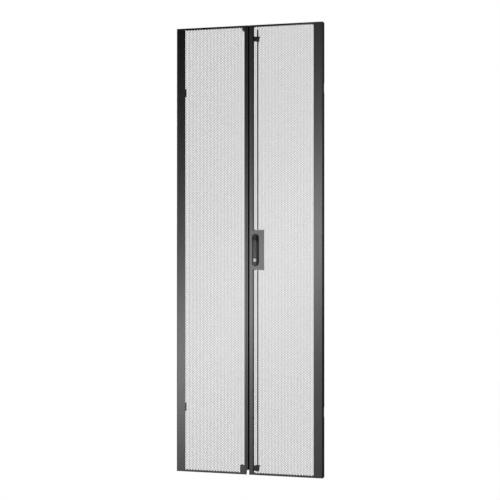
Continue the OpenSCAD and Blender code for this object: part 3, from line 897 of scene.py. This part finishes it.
    def _end_lip_cutter(self) -> bpy.types.Object:
        """Block that takes the lips off the top and bottom returns."""
        return cutter_block(
            (self.low.x + self.lip_w, self.high.y - 2 * self.sheet_t, self.low.z + self.sheet_t),
            (self.high.x - self.lip_w, self.high.y + MM, self.high.z - self.sheet_t),
        )

    def _foot_cutter(self) -> bpy.types.Object:
        """Block that opens the foot of the inner edge behind the front fold."""
        return cutter_block(
            (self.high.x - self.lip_w - MM, self.low.y + self.fold_r + MM, self.low.z - MM),
            (self.high.x + MM, self.high.y + MM, self.low.z + self.foot_h),
        )


# ---------------------------------------------------------------- fittings


@dataclass(frozen=True)
class RoundedPart:
    """A CAD node that is shown with rounded edges."""

    node: str
    width_mm: float


class Fittings:
    """The handle, lock, rod guides and left corner blocks, shown with rounded edges."""

    PARTS = (
        RoundedPart("handle_base", 0.9), RoundedPart("handle_hub", 0.8), RoundedPart("handle_lever", 1.1),
        RoundedPart("lock_barrel", 0.35), RoundedPart("lock_plug", 0.2),
        RoundedPart("upper_rod_guide", 0.5), RoundedPart("lower_rod_guide", 0.5),
        RoundedPart("left_upper_corner_block", 0.6), RoundedPart("left_lower_corner_block", 0.6),
    )

    def __init__(self, shop: Paintshop, nodes: dict[str, bpy.types.Object]) -> None:
        """Takes the paint shop and the frame's nodes."""
        self.shop = shop
        self.nodes = nodes

    def build(self) -> None:
        """Makes a rounded copy of each listed part."""
        for part in self.PARTS:
            node = self.nodes[part.node]
            piece = rounded_copy(node, part.node + "_rounded", part.width_mm * MM)
            self.shop.finish_piece(piece, self.shop.slots[part.node], node["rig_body"], [part.node])


# ---------------------------------------------------------------- studio


@dataclass(frozen=True)
class Lamp:
    """A square area lamp that the camera doesn't see.

    Args:
        name: Its name.
        place: Where it hangs, in metres.
        watts: Its power.
        size: Length of its sides.
    """

    name: str
    place: tuple[float, float, float]
    watts: float
    size: float

    def build(self, aim: Vector) -> None:
        """Hangs the lamp and turns it.

        Args:
            aim: The point that it shines towards.
        """
        data = bpy.data.lights.new(self.name, "AREA")
        data.shape = "SQUARE"
        data.size = self.size
        data.energy = self.watts
        lamp = bpy.data.objects.new(self.name, data)
        lamp.location = self.place
        lamp.rotation_euler = (aim - Vector(self.place)).to_track_quat("-Z", "Y").to_euler()
        lamp.visible_camera = False
        bpy.context.scene.collection.objects.link(lamp)


@dataclass(frozen=True)
class GradedPanel:
    """A large light panel in front, whose reflection crosses the doors as a soft slanted band.

    Args:
        x: Its left and right edges, in metres.
        z: Its lower and upper edges.
        y: Its place in front of the doors.
        light: Strength of its light.
        eye_x: How far the camera stands to the right; the doors mirror the panel halfway to it.
        eye_z: Height of the camera.
        slope: Rise of the band for each metre across the doors.
        zero: Height on the doors that the grading is counted from, at their middle.
        middle_level: Brightness at the middle.
        side_loss: Brightness lost for each metre to a side.
        lean: Brightness gained towards the upper right.
    """

    x: tuple[float, float] = (-2.7, -0.3)
    z: tuple[float, float] = (-1.5, 3.7)
    y: float = -5.5
    light: float = 9.0
    eye_x: float = 1.477
    eye_z: float = 1.1
    slope: float = 0.94
    zero: float = 0.828
    middle_level: float = 1.1
    side_loss: float = 0.45
    lean: float = 0.86
    HALFWAY: ClassVar[float] = 0.5
    STOPS: ClassVar[tuple[tuple[float, float], ...]] = (
        (-1.1, 0.21), (-0.8, 0.2), (-0.6, 0.21), (-0.45, 0.28), (-0.3, 0.42), (-0.15, 0.73), (0.0, 1.0),
        (0.15, 0.86), (0.3, 0.57), (0.45, 0.33), (0.6, 0.2), (0.8, 0.15), (1.0, 0.105), (1.2, 0.06),
        (1.4, 0.022), (1.67, 0.0),
    )

    def build(self) -> None:
        """Hangs the panel, lit towards the doors and hidden from the camera."""
        mesh = bpy.data.meshes.new("panel")
        left, right = self.x
        foot, top = self.z
        corners = [(left, self.y, foot), (right, self.y, foot), (right, self.y, top), (left, self.y, top)]
        mesh.from_pydata(corners, [], [(0, 1, 2, 3)])
        panel = add_object("graded_panel", mesh)
        mesh.materials.append(self._material())
        panel.visible_camera = False
        panel.visible_shadow = False

    def _material(self) -> bpy.types.Material:
        """Grades the panel by the place on the doors where it is seen mirrored.

        Returns:
            The panel's material.
        """
        material = bpy.data.materials.new("graded_panel")
        material.use_nodes = True
        material.node_tree.nodes.clear()
        graph = NodeGraph(material.node_tree)
        x, _, z = graph.parts(graph.node("ShaderNodeTexCoord", None, None, "Object"))
        across = (x + self.eye_x) * self.HALFWAY
        up = (z - self.eye_z) * self.HALFWAY + self.eye_z
        band = up - across * self.slope - self.zero
        side = across.larger(across * -1.0) * -self.side_loss + self.middle_level
        lean = band.larger(0.0) * across * self.lean + 1.0
        low, high = self.STOPS[0][0], self.STOPS[-1][0]
        stops = tuple(((place - low) / (high - low), level) for place, level in self.STOPS)
        level = graph.node("ShaderNodeValToRGB", {"stops": stops}, {0: (band - low) / (high - low)})
        colour = graph.node(
            "ShaderNodeMix", {"data_type": "RGBA", "blend_type": "MULTIPLY"},
            {0: 1.0, 6: level, 7: graph.grey(side * lean)}, 2,
        )
        glow = graph.node("ShaderNodeEmission", None, {"Color": colour, "Strength": self.light})
        graph.node("ShaderNodeOutputMaterial", None, {0: glow})
        return material


@dataclass
class Studio:
    """Camera, lamps, floor and world, sizes in metres and angles in degrees."""

    azimuth: float = 15.0
    distance: float = 5.655
    lens: float = 83.23
    sensor: float = 36.0
    clip_end: float = 100.0
    target: tuple[float, float, float] = (0.0076, -0.015, 1.1)
    floor_z: float = -0.15
    floor_half: float = 6.0
    floor_grey: float = 0.85
    floor_white: float = 0.996
    soft_light: float = 0.35
    lamp_aim: tuple[float, float, float] = (0.0, 0.0, 1.1)
    WHITE: ClassVar[tuple[float, float, float, float]] = (1.0, 1.0, 1.0, 1.0)
    HORIZON_MIDDLE: ClassVar[float] = 0.5
    HORIZON_SPREAD: ClassVar[float] = 2.0
    HORIZON: ClassVar[tuple[tuple[float, float], ...]] = (
        (0.0, 0.06), (0.3, 0.03), (0.42, 0.08), (0.5, 0.12), (0.6, 0.07), (0.9, 0.01), (1.0, 0.0),
    )
    LAMPS: ClassVar[tuple[Lamp, ...]] = (
        Lamp("fill_right", (5.0, 0.4, 2.6), 40.0, 2.0),
        Lamp("fill_left", (-5.0, 0.4, 2.6), 40.0, 2.0),
        Lamp("fill_back", (-4.2, 3.4, 2.6), 110.0, 2.5),
    )

    def build(self) -> None:
        """Sets up the whole studio."""
        self._camera()
        self._world()
        self._floor()
        GradedPanel().build()
        for lamp in self.LAMPS:
            lamp.build(Vector(self.lamp_aim))
        bpy.context.scene.view_settings.view_transform = "Standard"

    def _camera(self) -> None:
        """A level camera at the height of the doors' middle."""
        turn = math.radians(self.azimuth)
        back = Vector((math.sin(turn), -math.cos(turn), 0.0))
        data = bpy.data.cameras.new("camera")
        data.lens = self.lens
        data.sensor_width = self.sensor
        data.clip_end = self.clip_end
        camera = bpy.data.objects.new("camera", data)
        camera.location = Vector(self.target) + back * self.distance
        camera.rotation_euler = (math.pi / 2, 0.0, turn)
        bpy.context.scene.collection.objects.link(camera)
        bpy.context.scene.camera = camera

    def _world(self) -> None:
        """White to the eye, dark with a soft glow at the horizon in reflections, soft light otherwise."""
        world = bpy.data.worlds.new("studio")
        bpy.context.scene.world = world
        world.use_nodes = True
        world.node_tree.nodes.clear()
        graph = NodeGraph(world.node_tree)
        seen = graph.seen_directly()
        rise = graph.parts(graph.node("ShaderNodeTexCoord", None, None, "Generated"))[2]
        place = rise * self.HORIZON_SPREAD + self.HORIZON_MIDDLE
        glow = graph.node("ShaderNodeValToRGB", {"stops": self.HORIZON}, {0: place})
        soft = graph.node("ShaderNodeBackground", None, {"Color": self.WHITE, "Strength": self.soft_light})
        mirrored = graph.node("ShaderNodeBackground", None, {"Color": glow, "Strength": 1.0})
        white = graph.node("ShaderNodeBackground", None, {"Color": self.WHITE, "Strength": 1.0})
        glossy = graph.node("ShaderNodeLightPath", None, None, "Is Glossy Ray")
        unseen = graph.node("ShaderNodeMixShader", None, {0: glossy, 1: soft, 2: mirrored})
        mixed = graph.node("ShaderNodeMixShader", None, {0: seen, 1: unseen, 2: white})
        graph.node("ShaderNodeOutputWorld", None, {0: mixed})

    def _floor(self) -> None:
        """A pale floor that shows white and keeps a trace of shadow."""
        mesh = bpy.data.meshes.new("floor")
        half = self.floor_half
        corners = [(-half, -half, self.floor_z), (half, -half, self.floor_z),
                   (half, half, self.floor_z), (-half, half, self.floor_z)]
        mesh.from_pydata(corners, [], [(0, 1, 2, 3)])
        floor = add_object("floor", mesh)
        floor.visible_glossy = False
        material = bpy.data.materials.new("pale_floor")
        material.use_nodes = True
        material.node_tree.nodes.clear()
        graph = NodeGraph(material.node_tree)
        grey = (self.floor_grey, self.floor_grey, self.floor_grey, 1.0)
        matt = graph.node("ShaderNodeBsdfDiffuse", None, {"Color": grey})
        white = graph.node("ShaderNodeEmission", None, {"Strength": 1.0})
        share = graph.seen_directly() * self.floor_white
        mixed = graph.node("ShaderNodeMixShader", None, {0: share, 1: matt, 2: white})
        graph.node("ShaderNodeOutputMaterial", None, {0: mixed})
        mesh.materials.append(material)


# ---------------------------------------------------------------- main


def main() -> None:
    """Loads the frame and builds everything round it."""
    logging.basicConfig(level=logging.INFO, format="%(name)s: %(message)s")
    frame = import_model()
    Studio().build()
    shop = Paintshop(frame["record"])
    for node in frame["nodes"].values():
        shop.dress_node(node)
    comb = HoneycombTree()
    for side in Side:
        Leaf(side, shop, comb).build()
    Fittings(shop, frame["nodes"]).build()


if __name__ == "__main__":
    main()
